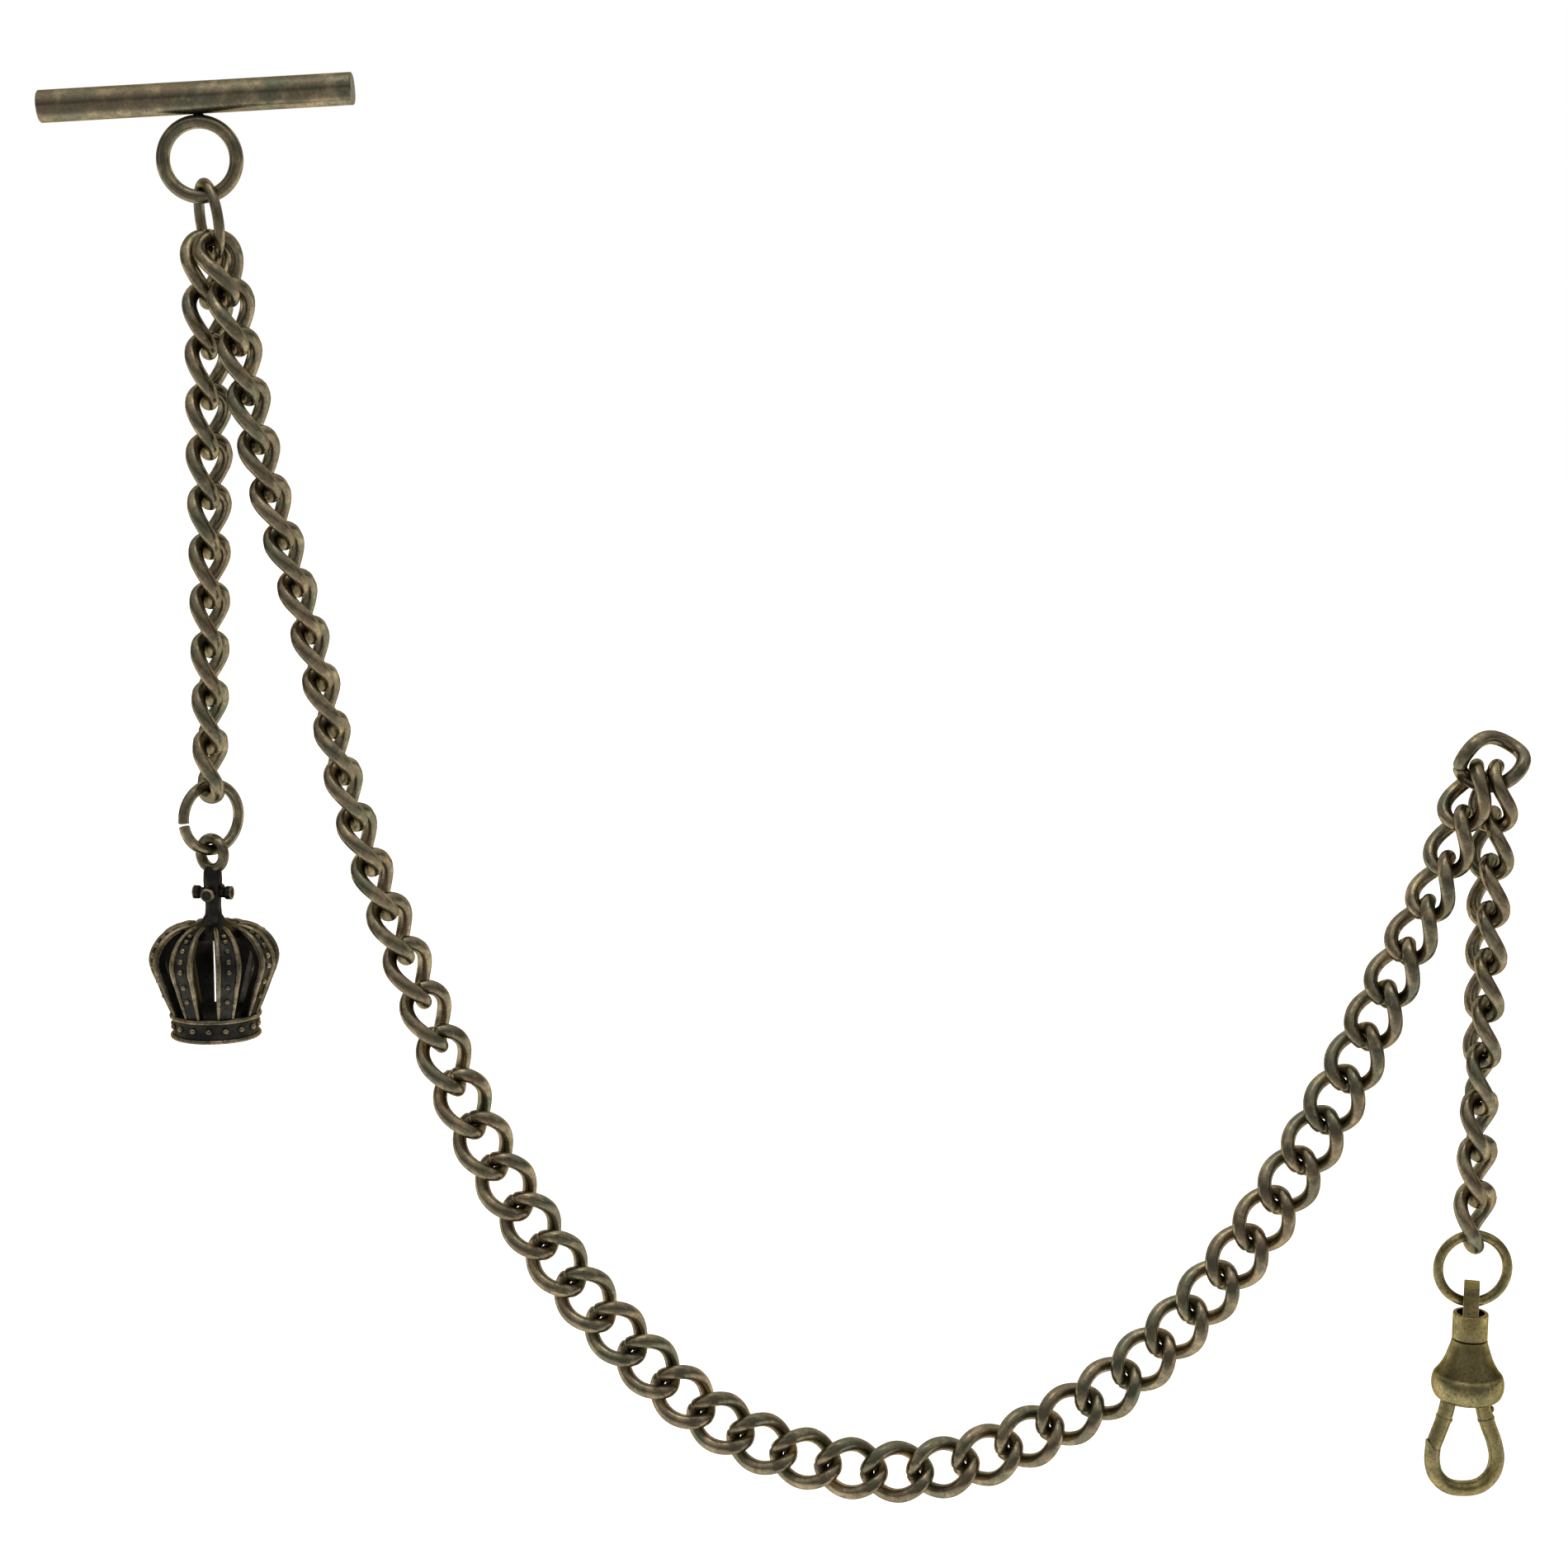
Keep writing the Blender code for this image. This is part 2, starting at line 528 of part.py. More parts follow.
def bell_parts():
    pivot = clasp_point(0.0, BELL_OUTER[0][0])
    axis = clasp_point(0.0, 0.0)
    outline = [(BELL_OUTER[0][0], POST_BORE)] + BELL_OUTER + BELL_CAVITY
    bell = add_object("bell", *revolve(outline, axis, 24), "antique_brass", pivot)
    reach, width, low, high = BELL_SLOT
    combine(bell, *box(clasp_point(-reach, low, -width), clasp_point(reach, high, width)), "DIFFERENCE")
    pin_line = [clasp_point(PIN_AT[0], PIN_AT[1], side * 5.0) for side in (-1.0, 1.0)]
    combine(bell, *rod(*pin_line, PIN_BORE, 12), "DIFFERENCE")
    ends = [clasp_point(PIN_AT[0], PIN_AT[1], side * PIN_HALF_LENGTH) for side in (-1.0, 1.0)]
    pin_pivot = clasp_point(*PIN_AT)
    add_object("gate_pin", *rod(*ends, PIN_RADIUS, 12), "spring_steel", pin_pivot)
    slope = Vector((CUT_DIRECTION[0], 0.0, CUT_DIRECTION[1])).normalized()
    normal = Vector((-slope.z, 0.0, slope.x))
    hook_cut = (clasp_point(*CUT_POINT) - normal * CUT_GAP / 2.0, normal)
    gate_cut = (clasp_point(*CUT_POINT) + normal * CUT_GAP / 2.0, normal)
    hook_line = smooth_route([clasp_point(*p) for p in HOOK_PATH], 2)
    add_object("hook", *tube(hook_line, HOOK_WIRE, 10, False, hook_cut), "antique_brass", pivot)
    gate_line = smooth_route([clasp_point(*p) for p in GATE_PATH], 2)
    gate = add_object("gate", *tube(gate_line, HOOK_WIRE, 10, False, gate_cut), "antique_brass", pin_pivot)
    half, back, front = TANG
    tang = box(clasp_point(PIN_AT[0] - half, GATE_PATH[0][1] - 0.5, back),
               clasp_point(PIN_AT[0] + half, PIN_AT[1] + 0.2, front))
    combine(gate, *tang, "UNION")
    knuckle = [clasp_point(PIN_AT[0], PIN_AT[1], depth) for depth in (back, front)]
    combine(gate, *rod(*knuckle, half, 16), "UNION")
    combine(gate, *rod(*pin_line, PIN_BORE, 12), "DIFFERENCE")
    coil = []
    steps = 12 * SPRING_TURNS
    for n in range(steps + 1):
        turn = 2.0 * math.pi * n / 12
        depth = SPRING_SPAN[0] + (SPRING_SPAN[1] - SPRING_SPAN[0]) * n / steps
        coil.append(clasp_point(PIN_AT[0] + SPRING_RADIUS * math.sin(turn),
                                PIN_AT[1] + SPRING_RADIUS * math.cos(turn), depth))
    tail = coil[-1] + Vector((2.2, 0.0, 0.6))
    add_object("gate_spring", *tube(coil + [tail], SPRING_WIRE, 6), "spring_steel", pin_pivot)


clear_scene()
main_chain()
hanging_chain("fob_link", FOB_TOP, FOB_LINKS, FOB_PITCH, FOB_ROLLS, FOB_LEAN)
hanging_chain("drop_link", DROP_TOP, DROP_LINKS, DROP_PITCH, DROP_ROLLS, 0.0)
bar_parts()
crown_parts(FOB_TOP[-1][1])
swivel_parts()
bell_parts()
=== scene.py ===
"""Looks of the double-drop pocket watch chain: every link, the crown charm and the swivel clasp.

Lengths are in millimetres and angles in degrees until a mesh, a light or the camera is made.
Heights are z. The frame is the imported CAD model, with +X to the right and -Y towards the camera.
"""
import json
import math

import bmesh
import bpy
from mathutils import Matrix, Vector


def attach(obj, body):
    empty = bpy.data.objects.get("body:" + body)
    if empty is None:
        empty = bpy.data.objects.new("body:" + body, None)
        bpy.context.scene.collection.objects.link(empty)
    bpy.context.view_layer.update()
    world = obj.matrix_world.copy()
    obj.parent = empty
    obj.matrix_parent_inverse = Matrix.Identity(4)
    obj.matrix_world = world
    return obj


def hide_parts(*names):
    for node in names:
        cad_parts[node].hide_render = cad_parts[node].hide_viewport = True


MM = 0.001

# Curb links: 0.04 mm shorter than the CAD links at either end, with finer steps and pressed faces.
LINK_HALF = (3.93, 3.0)
LINK_WIRE = 0.9
LINK_TWIST = 45.0
LINK_STEPS = 56
LINK_SIDES = 16
LINK_FACE = 1.86  # greatest distance of metal from the link's middle plane
SEAM_DEPTH = 0.8  # share of the wire's radius that is left at the seam

# The routes run through the contacts of the links; rolls are (link number, turn about the chain).
MAIN_ROUTE = [
    (1.65, -0.96, -17.25), (3.38, -1.81, -22.9), (4.4, -1.95, -28.8), (5.3, -1.56, -34.7),
    (6.2, -0.8, -40.6), (11.9, 0.0, -63.7), (17.1, 0.0, -86.7), (25.1, 0.0, -109.2),
    (34.2, 0.0, -131.1), (47.7, 0.0, -150.9), (65.5, 0.0, -166.5), (88.6, 0.0, -171.3),
    (110.1, 0.0, -161.9), (126.7, 0.0, -144.9), (138.8, 0.0, -124.6), (148.0, -0.3, -102.8),
    (150.3, -0.5, -97.2), (152.4, -0.7, -91.65), (154.1, -0.6, -85.95), (155.96, 0.63, -80.4),
]
MAIN_LINKS = 52
MAIN_ROLLS = [
    (1, -73), (2, -74.5), (3, -80), (8, -87), (11, -90), (14, -80), (17, -58), (19, -35), (21, -20),
    (43, -20), (45, -29), (47, -46), (50, -72), (51, -70), (52, -67),
]
FOB_TOP = [(0.16, 0.8, -17.08), (0.1, 1.29, -23.09), (0.1, 1.5, -29.14)]
FOB_LEAN = -0.115
FOB_PITCH = 6.05
FOB_LINKS = 11
FOB_ROLLS = [(1, -67), (2, -68), (3, -74), (5, -76), (7, -84), (11, -94)]
DROP_TOP = [(158.3, -0.28, -80.35), (158.4, 0.69, -86.28),
            (158.4, 0.89, -92.28), (158.4, 0.7, -98.28)]
DROP_PITCH = 6.0
DROP_LINKS = 10
DROP_ROLLS = [(1, 72), (2, 76.5), (3, 84), (6, 92), (8, 118), (10, 126)]
HOOK_LINK = ((157.79, 0.0, -78.85), (0.982, 0.0, 0.189), -10.0)  # centre, direction, roll

BAR_CENTRE = (-0.45, 0.0, 0.0)
BAR_LENGTH = 37.5
BAR_RADIUS = 1.92
BAR_TILT = 3.66
BAR_EDGE = 0.12
BAR_RING = ((-0.17, 0.0, -7.2), 4.4, 0.825)  # centre, radius, wire radius
# A fillet of solder between bar and ring: (x from the ring's top, radius).
SOLDER_RISE = 0.3
SOLDER = [(-0.9, 0.1), (-0.5, 0.32), (0.0, 0.4), (0.5, 0.32), (0.9, 0.1)]
CONNECTOR = ((0.8, 0.0, -14.29), (0.15, 0.0, -1.0), 59.2, (4.32, 3.09), 0.65)

# The fob drop's ring and the crown hang on one upright axis.
FOB_X = -0.94
FOB_Y = 1.5
JUMP_RING_Z = -87.06
JUMP_RING_RADIUS = 4.13
JUMP_RING_WIRE = 0.675
JUMP_RING_YAW = 48.0
JUMP_RING_CUT = (262.0, 7.0)  # middle and width of the split
CROWN_LOOP = (-91.65, (1.9, 1.85), 0.68, 30.0)  # height, halves, wire radius, yaw
# Outlines are (height, radius).
CROWN_STEM = [(-93.1, 0.0), (-93.3, 0.85), (-93.9, 1.12), (-95.0, 1.17), (-95.9, 1.12), (-97.2, 1.0),
              (-98.4, 0.98), (-99.3, 1.05), (-100.0, 1.45), (-100.5, 2.3)]
CROWN_OUTER = [(-100.8, 4.2), (-102.0, 6.4), (-104.3, 7.68), (-108.3, 6.65), (-111.9, 5.3)]
CROWN_BAND = [(-111.9, 5.3), (-113.2, 5.22), (-114.75, 5.35)]
CROWN_RIMS = [(-112.0, 5.4, 0.32), (-114.5, 5.35, 0.28)]  # height, radius, wire radius
CROWN_WALL = 1.2
POLE_DROP = 0.2  # the inside is a shallow cone under the stem
CROWN_STRAPS = 8
CROWN_TURN = 24.6
CROWN_HALF_ANGLE = 10.5
STRAP_COLUMNS = 6
RIB_TOP = (-100.6, 3.2)
RIB_INSET = 1.2
RIB_SINK = 0.05
RIB_WIRE = (0.2, 0.18)  # radius at the ends, and how much it grows at the middle
STRAP_BEADS = 7
STRAP_BEAD_ROWS = (12, 15)  # rows of the rib outline kept free above, and above and below together
STRAP_BEAD_RADIUS = 0.36
BAND_BEADS = 16
BAND_BEAD_ROW = (-113.2, 5.23)
BAND_BEAD_RADIUS = 0.42
CROWN_CROSS_Z = -96.55
CROWN_CROSS_TURN = -96.5
CROWN_CROSS_ARM = [(0.0, 0.75), (0.8, 0.62), (1.5, 0.62), (1.75, 0.84), (2.35, 0.84), (2.36, 0.5)]
CROSS_RIM = (2.34, 0.7, 0.17)  # distance from the axis, radius, wire radius

# Everything on the clasp drop shares one upright axis; points are (x from that axis, height).
CLASP_X = 158.45
CLASP_Y = 0.6
CLASP_RING = (-144.08, 4.415, 0.635)  # height, radius, wire radius
EYE_TOP = -146.1
EYE_HOLE = (-147.65, -149.9)
EYE_TURN = -15.5
STAPLE = (0.98, 2.0, 1.6, 0.8)  # half width, half depth, half depth of the crest, chamfer
STAPLE_EDGE = 0.12
COLLAR_RADIUS = 2.225
COLLAR_INSIDE = 1.75
COLLAR_FLOOR = (-152.2, -153.3)
POST_BORE = 0.7
BELL_OUTER = [(-153.4, 2.1), (-153.5, 2.25), (-153.9, 2.33), (-155.0, 2.68), (-156.0, 3.03),
              (-157.0, 3.53), (-157.8, 4.08), (-158.05, 4.3), (-158.5, 4.47), (-159.2, 4.57),
              (-160.2, 4.44), (-160.9, 4.1), (-161.4, 3.3), (-161.65, 2.6)]
BELL_CREASE_SHADE = (-155.4, -157.75, -158.0)  # heights where the painted shade above the bell's crease starts, is darkest and ends
BELL_INNER = [(-161.65, 2.0), (-160.6, 2.9), (-157.9, 2.9),
              (-156.4, 1.9), (-156.4, 0.8), (-153.4, 0.8)]
BELL_SLOT = (3.6, 1.15, -162.6, -159.3)  # half length, half width, bottom, top
HOOK_WIRE = 1.0
HOOK_PATH = [(2.1, -159.6), (2.1, -162.2), (2.75, -164.6), (3.75, -167.2),
             (4.15, -169.5), (3.6, -171.6), (2.1, -173.05), (0.0, -173.45),
             (-2.1, -173.05), (-3.6, -171.6), (-4.15, -169.6), (-4.1, -167.8)]
GATE_PATH = [(-2.35, -161.68), (-2.8, -163.8), (-3.5, -166.0), (-4.1, -167.8)]
CUT_POINT = GATE_PATH[-1]
CUT_DIRECTION = (1.8, -2.2)
CUT_GAP = 0.1
PIN_AT = (-2.2, -160.8)
TANG = (0.95, -1.0, 0.1)  # half length, back, front
SHOULDERS = [("hook_shoulder", "snap_hook", (2.62, -164.2), (2.52, -163.9)),
             ("gate_shoulder", "gate", (-2.87, -164.1), (-2.78, -163.8))]
SHOULDER_RADIUS = 1.09
PIN_HEAD = [(2.6, -162.85), (3.35, -162.75), (3.5, -162.73)]
PIN_HEAD_RADII = [0.42, 0.42, 0.25]

CAMERA_AT = (68.43, -323.15, -37.11)
CAMERA_TURN = (82.05, -0.40, -0.27)
CAMERA_LENS = 60.54
CAMERA_SENSOR = 36.0
FLOOR_Z = -196.0
# From here to LIGHT_AIM lengths are in metres and powers in watts.
FLOOR_SIZE = 14.0
FLOOR_X = 0.07
FLOOR_FADE = (-0.12, 0.0)  # the floor brightens between these depths
FLOOR_NEAR = (0.62, 0.62, 0.62)
FLOOR_FAR = (0.92, 0.92, 0.92)
FLOOR_GLOW = 0.7
WORLD_RAMP = [(0.6, 0.2), (1.0, 0.9)]  # (height in the light tent from 0 to 1, grey)
WORLD_BACK = (0.3, 0.8)  # y of the direction in which the tent starts to whiten, and is white
WHITE = (1.0, 1.0, 1.0)
LAMPS = [("top", (0.06, -0.12, 0.42), 0.22, 0.25),  # name, place, size, power
         ("left", (-0.42, -0.30, 0.05), 0.12, 0.03),
         ("right", (0.56, -0.30, 0.05), 0.12, 0.03)]
LIGHT_AIM = (0.07, 0.0, -0.09)

# Metals are (bright, middle, cool, dark). Noise scales are in cycles per metre.
BRONZE = ((0.385, 0.302, 0.183), (0.22, 0.172, 0.109), (0.174, 0.17, 0.111), (0.035, 0.031, 0.022))
BRASS = ((0.39, 0.31, 0.138), (0.253, 0.203, 0.082), (0.214, 0.19, 0.093), (0.04, 0.031, 0.014))
CROWN_DARK = ((0.065, 0.06, 0.05), (0.036, 0.034, 0.03), (0.03, 0.031, 0.029), (0.008, 0.008, 0.007))
CROWN_WORN = ((0.45, 0.36, 0.22), (0.2, 0.16, 0.1), (0.17, 0.155, 0.1), (0.014, 0.012, 0.009))
STEEL = ((0.55, 0.55, 0.56), (0.45, 0.45, 0.46), (0.42, 0.43, 0.45), (0.1, 0.1, 0.1))
EDGE_TINT = (0.5, 0.46, 0.37)
CREASE_SHADE_DEPTH = 0.75
RECESS_ROUGHNESS = 0.25
CLOUD_SCALE = 420.0
PATCH_SCALE = 170.0
SPECK_SCALE = 2600.0
LATHE_SCALE = 9000.0
BUMP_STRENGTH = 0.25
BUMP_DISTANCE = 0.00004  # metres
OCCLUSION_SAMPLES = 8

JOINED_SHARP_ANGLE = 32.0
SHOWN_SHARP_ANGLE = 35.0
BEVEL_ANGLE = 35.0

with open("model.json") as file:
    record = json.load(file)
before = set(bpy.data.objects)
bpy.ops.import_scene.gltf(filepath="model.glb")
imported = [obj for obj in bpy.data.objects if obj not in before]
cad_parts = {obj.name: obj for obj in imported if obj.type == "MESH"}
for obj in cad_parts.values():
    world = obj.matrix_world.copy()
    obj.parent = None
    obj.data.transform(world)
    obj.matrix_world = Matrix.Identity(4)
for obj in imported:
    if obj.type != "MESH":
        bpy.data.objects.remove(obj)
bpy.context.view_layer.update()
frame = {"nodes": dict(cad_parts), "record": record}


# ---------------------------------------------------------------- materials

def shader_nodes(name):
    made = bpy.data.materials.new(name)
    made.use_nodes = True
    nodes = made.node_tree.nodes
    return made, nodes, made.node_tree.links, nodes["Principled BSDF"]


def noise(nodes, links, coords, scale, detail, roughness=0.6):
    made = nodes.new("ShaderNodeTexNoise")
    made.inputs["Scale"].default_value = scale
    made.inputs["Detail"].default_value = detail
    made.inputs["Roughness"].default_value = roughness
    links.new(coords, made.inputs["Vector"])
    return made.outputs["Fac"]


def remap(nodes, links, value, low, high, out_low, out_high):
    made = nodes.new("ShaderNodeMapRange")
    made.inputs["From Min"].default_value = low
    made.inputs["From Max"].default_value = high
    made.inputs["To Min"].default_value = out_low
    made.inputs["To Max"].default_value = out_high
    links.new(value, made.inputs["Value"])
    return made.outputs["Result"]


def blend_colour(nodes, links, amount, first, second):
    made = nodes.new("ShaderNodeMix")
    made.data_type = "RGBA"
    links.new(amount, made.inputs["Factor"])
    for socket, colour in ((made.inputs[6], first), (made.inputs[7], second)):
        if isinstance(colour, tuple):
            socket.default_value = (*colour, 1.0)
        else:
            links.new(colour, socket)
    return made.outputs[2]


def math_node(nodes, links, operation, first, second):
    made = nodes.new("ShaderNodeMath")
    made.operation = operation
    for socket, value in zip(made.inputs, (first, second)):
        if isinstance(value, float):
            socket.default_value = value
        else:
            links.new(value, socket)
    return made.outputs["Value"]


def aged_metal(name, colours, rough, speckle, patina_and_shade_depth, patina_and_shade_reach, turned=False, crease_shade=None):
    """Plated metal: bright where rubbed, cooler where oxidised and dark in fine specks; patina and
    painted shade darken the recesses and the places where parts touch.

    turned adds the fine rings of a lathe; the last argument paints shade in a band between three
    heights, above the bell's crease.
    """
    bright, mid, cool, dark = colours
    made, nodes, links, shader = shader_nodes(name)
    coords = nodes.new("ShaderNodeTexCoord").outputs["Object"]
    cloudy = noise(nodes, links, coords, CLOUD_SCALE, 4.0)
    patchy = noise(nodes, links, coords, PATCH_SCALE, 3.0)
    fine = noise(nodes, links, coords, SPECK_SCALE, 6.0, 0.7)
    body = blend_colour(nodes, links, remap(nodes, links, patchy, 0.4, 0.62, 0.0, 1.0), mid, cool)
    body = blend_colour(nodes, links, remap(nodes, links, cloudy, 0.48, 0.66, 0.0, 1.0), body, bright)
    specks = remap(nodes, links, fine, 0.48, 0.70, 0.0, speckle)
    body = blend_colour(nodes, links, specks, body, dark)
    # Painted shade: a dark band above the crease of the bell's flare.
    if crease_shade:
        height = nodes.new("ShaderNodeSeparateXYZ")
        links.new(coords, height.inputs[0])
        start, worst, end = (level * MM for level in crease_shade)
        rise = remap(nodes, links, height.outputs["Z"], worst, start, CREASE_SHADE_DEPTH, 0.0)
        cut = remap(nodes, links, height.outputs["Z"], end, worst, 0.0, 1.0)
        body = blend_colour(nodes, links, math_node(nodes, links, "MULTIPLY", rise, cut), body, dark)
    # Patina and painted shade: the occlusion node darkens hollows and the places where parts touch or
    # cross.
    shade = nodes.new("ShaderNodeAmbientOcclusion")
    shade.inputs["Distance"].default_value = patina_and_shade_reach * MM
    shade.samples = OCCLUSION_SAMPLES
    patina_and_painted_shade = remap(nodes, links, shade.outputs["AO"], 0.1, 0.85, patina_and_shade_depth, 0.0)
    body = blend_colour(nodes, links, patina_and_painted_shade, body, dark)
    links.new(body, shader.inputs["Base Color"])
    shader.inputs["Metallic"].default_value = 1.0
    shader.inputs["Specular Tint"].default_value = (*EDGE_TINT, 1.0)
    dull = remap(nodes, links, fine, 0.3, 0.7, rough - 0.06, rough + 0.1)
    dull_recess = math_node(nodes, links, "MULTIPLY", patina_and_painted_shade, RECESS_ROUGHNESS)
    links.new(math_node(nodes, links, "ADD", dull, dull_recess), shader.inputs["Roughness"])
    height = math_node(nodes, links, "ADD", fine, cloudy)
    if turned:
        split = nodes.new("ShaderNodeSeparateXYZ")
        links.new(coords, split.inputs[0])
        rows = nodes.new("ShaderNodeTexNoise")
        rows.noise_dimensions = "1D"
        rows.inputs["Scale"].default_value = LATHE_SCALE
        rows.inputs["Detail"].default_value = 2.0
        links.new(split.outputs["Z"], rows.inputs["W"])
        height = math_node(nodes, links, "ADD", height, rows.outputs["Fac"])
    bump = nodes.new("ShaderNodeBump")
    bump.inputs["Strength"].default_value = BUMP_STRENGTH
    bump.inputs["Distance"].default_value = BUMP_DISTANCE
    links.new(height, bump.inputs["Height"])
    links.new(bump.outputs["Normal"], shader.inputs["Normal"])
    return made


LOOKS = {
    "bronze": aged_metal("antique_bronze", BRONZE, 0.24, 0.5, 0.75, 0.75),
    "brass": aged_metal("antique_brass", BRASS, 0.30, 0.8, 0.8, 1.4, turned=True),
    "bell_brass": aged_metal("bell_brass", BRASS, 0.30, 0.8, 0.8, 1.4, turned=True, crease_shade=BELL_CREASE_SHADE),
    "crown_dark": aged_metal("crown_dark", CROWN_DARK, 0.38, 0.6, 0.95, 2.5),
    "crown_worn": aged_metal("crown_worn", CROWN_WORN, 0.32, 0.85, 0.95, 1.1),
    "steel": aged_metal("spring_steel", STEEL, 0.3, 0.3, 0.6, 1.0),
}


# ------------------------------------------------------------------- shapes

def add_object(name, shape):
    """Make a smooth-shaded mesh object, in metres, with its faces turned outwards."""
    verts, faces = shape
    mesh = bpy.data.meshes.new(name)
    mesh.from_pydata([Vector(v) * MM for v in verts], [], faces)
    outward = bmesh.new()
    outward.from_mesh(mesh)
    bmesh.ops.recalc_face_normals(outward, faces=outward.faces)
    outward.to_mesh(mesh)
    outward.free()
    mesh.polygons.foreach_set("use_smooth", [True] * len(mesh.polygons))
    made = bpy.data.objects.new(name, mesh)
    bpy.context.collection.objects.link(made)
    return made


def piece(name, shape, look, body, node=None, smooth_angle=40.0):
    """Make one visible piece that rides on a body and may stand for a CAD node."""
    made = add_object(name, shape)
    made.data.set_sharp_from_angle(angle=math.radians(smooth_angle))
    made.data.materials.append(LOOKS[look])
    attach(made, body)
    if node:
        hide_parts(node)
    return made


def boolean(target, shape, operation):
    """Join a closed shape to a finished piece, or cut it away."""
    tool = add_object("tool", shape)
    step = target.modifiers.new("step", "BOOLEAN")
    step.operation = operation
    step.solver = "EXACT"
    step.object = tool
    bpy.context.view_layer.update()
    evaluated = target.evaluated_get(bpy.context.evaluated_depsgraph_get())
    result = bpy.data.meshes.new_from_object(evaluated)
    target.modifiers.clear()
    metal = target.data.materials[0]
    target.data = result
    result.materials.clear()
    result.materials.append(metal)
    result.polygons.foreach_set("material_index", [0] * len(result.polygons))
    result.set_sharp_from_angle(angle=math.radians(JOINED_SHARP_ANGLE))
    bpy.data.objects.remove(tool, do_unlink=True)


def bevel(target, width):
    made = target.modifiers.new("edges", "BEVEL")
    made.width = width * MM
    made.segments = 3
    made.limit_method = "ANGLE"
    made.angle_limit = math.radians(BEVEL_ANGLE)
    made.harden_normals = False


def grid_faces(rows, sides, closed):
    """Faces between rings of equal size; the ends meet if closed, and are capped if not."""
    faces = []
    for row in range(rows if closed else rows - 1):
        after = (row + 1) % rows
        for side in range(sides):
            turn = (side + 1) % sides
            faces.append((row * sides + side, row * sides + turn,
                          after * sides + turn, after * sides + side))
    if not closed:
        faces.append(tuple(range(sides)))
        faces.append(tuple(range((rows - 1) * sides, rows * sides)))
    return faces


def tube(points, radius, sides, closed=False, cut=None):
    """Sweep a round wire along the points; its radius is one number or one for each point.

    cut moves the last ring onto a plane (point, normal).
    """
    points = [Vector(p) for p in points]
    count = len(points)
    radii = radius if isinstance(radius, list) else [radius] * count
    tangents = []
    for n in range(count):
        before = points[n - 1] if closed or n > 0 else points[n]
        after = points[(n + 1) % count] if closed or n < count - 1 else points[n]
        tangents.append((after - before).normalized())
    across = tangents[0].orthogonal().normalized()
    frames = []
    for tangent in tangents:
        across = (across - tangent * across.dot(tangent)).normalized()
        frames.append(across.copy())
    slip = 0.0
    if closed:
        last = (across - tangents[0] * across.dot(tangents[0])).normalized()
        slip = math.atan2(last.cross(frames[0]).dot(tangents[0]), last.dot(frames[0]))
        step = 2.0 * math.pi / sides
        slip -= step * round(slip / step)
    verts = []
    for n, (point, tangent, across) in enumerate(zip(points, tangents, frames)):
        beside = tangent.cross(across)
        for side in range(sides):
            turn = 2.0 * math.pi * side / sides + slip * n / count
            verts.append(point + (across * math.cos(turn) + beside * math.sin(turn)) * radii[n])
    if cut:
        plane_point, plane_normal = cut
        slope = tangents[-1].dot(plane_normal)
        for n in range(len(verts) - sides, len(verts)):
            verts[n] = verts[n] + tangents[-1] * ((plane_point - verts[n]).dot(plane_normal) / slope)
    return verts, grid_faces(count, sides, closed)


def revolve(profile, centre, sides):
    """Turn a (z, radius) outline about a vertical axis; radius 0 is a pole, otherwise it closes."""
    verts = []
    rings = []
    for z, radius in profile:
        if radius == 0.0:
            rings.append([len(verts)])
            verts.append(Vector((centre[0], centre[1], z)))
            continue
        rings.append(list(range(len(verts), len(verts) + sides)))
        for side in range(sides):
            turn = 2.0 * math.pi * side / sides
            verts.append(Vector((centre[0] + radius * math.cos(turn),
                                 centre[1] + radius * math.sin(turn), z)))
    faces = []
    pairs = list(zip(rings, rings[1:])) + ([] if len(rings[0]) == 1 else [(rings[-1], rings[0])])
    for low, high in pairs:
        for side in range(sides):
            turn = (side + 1) % sides
            if len(low) == 1:
                faces.append((low[0], high[turn], high[side]))
            elif len(high) == 1:
                faces.append((low[side], low[turn], high[0]))
            else:
                faces.append((low[side], low[turn], high[turn], high[side]))
    return verts, faces


def box(low, high):
    """An upright box between two opposite corners."""
    across, depth, height = zip(low, high)
    verts = [Vector((x, y, z)) for x in across for y in depth for z in height]
    return verts, [(0, 1, 3, 2), (4, 6, 7, 5), (0, 4, 5, 1), (2, 3, 7, 6), (0, 2, 6, 4), (1, 5, 7, 3)]


def balls(centres, radius):
    """Several separate small balls as one shape."""
    shapes = []
    for centre in centres:
        ball = bmesh.new()
        bmesh.ops.create_uvsphere(ball, u_segments=16, v_segments=10, radius=radius)
        shapes.append(([Vector(centre) + v.co for v in ball.verts],
                       [tuple(v.index for v in f.verts) for f in ball.faces]))
        ball.free()
    return joined(shapes)


def joined(shapes):
    """Several separate shapes as one."""
    verts, faces = [], []
    for more_verts, more_faces in shapes:
        first = len(verts)
        verts += list(more_verts)
        faces += [tuple(first + n for n in face) for face in more_faces]
    return verts, faces


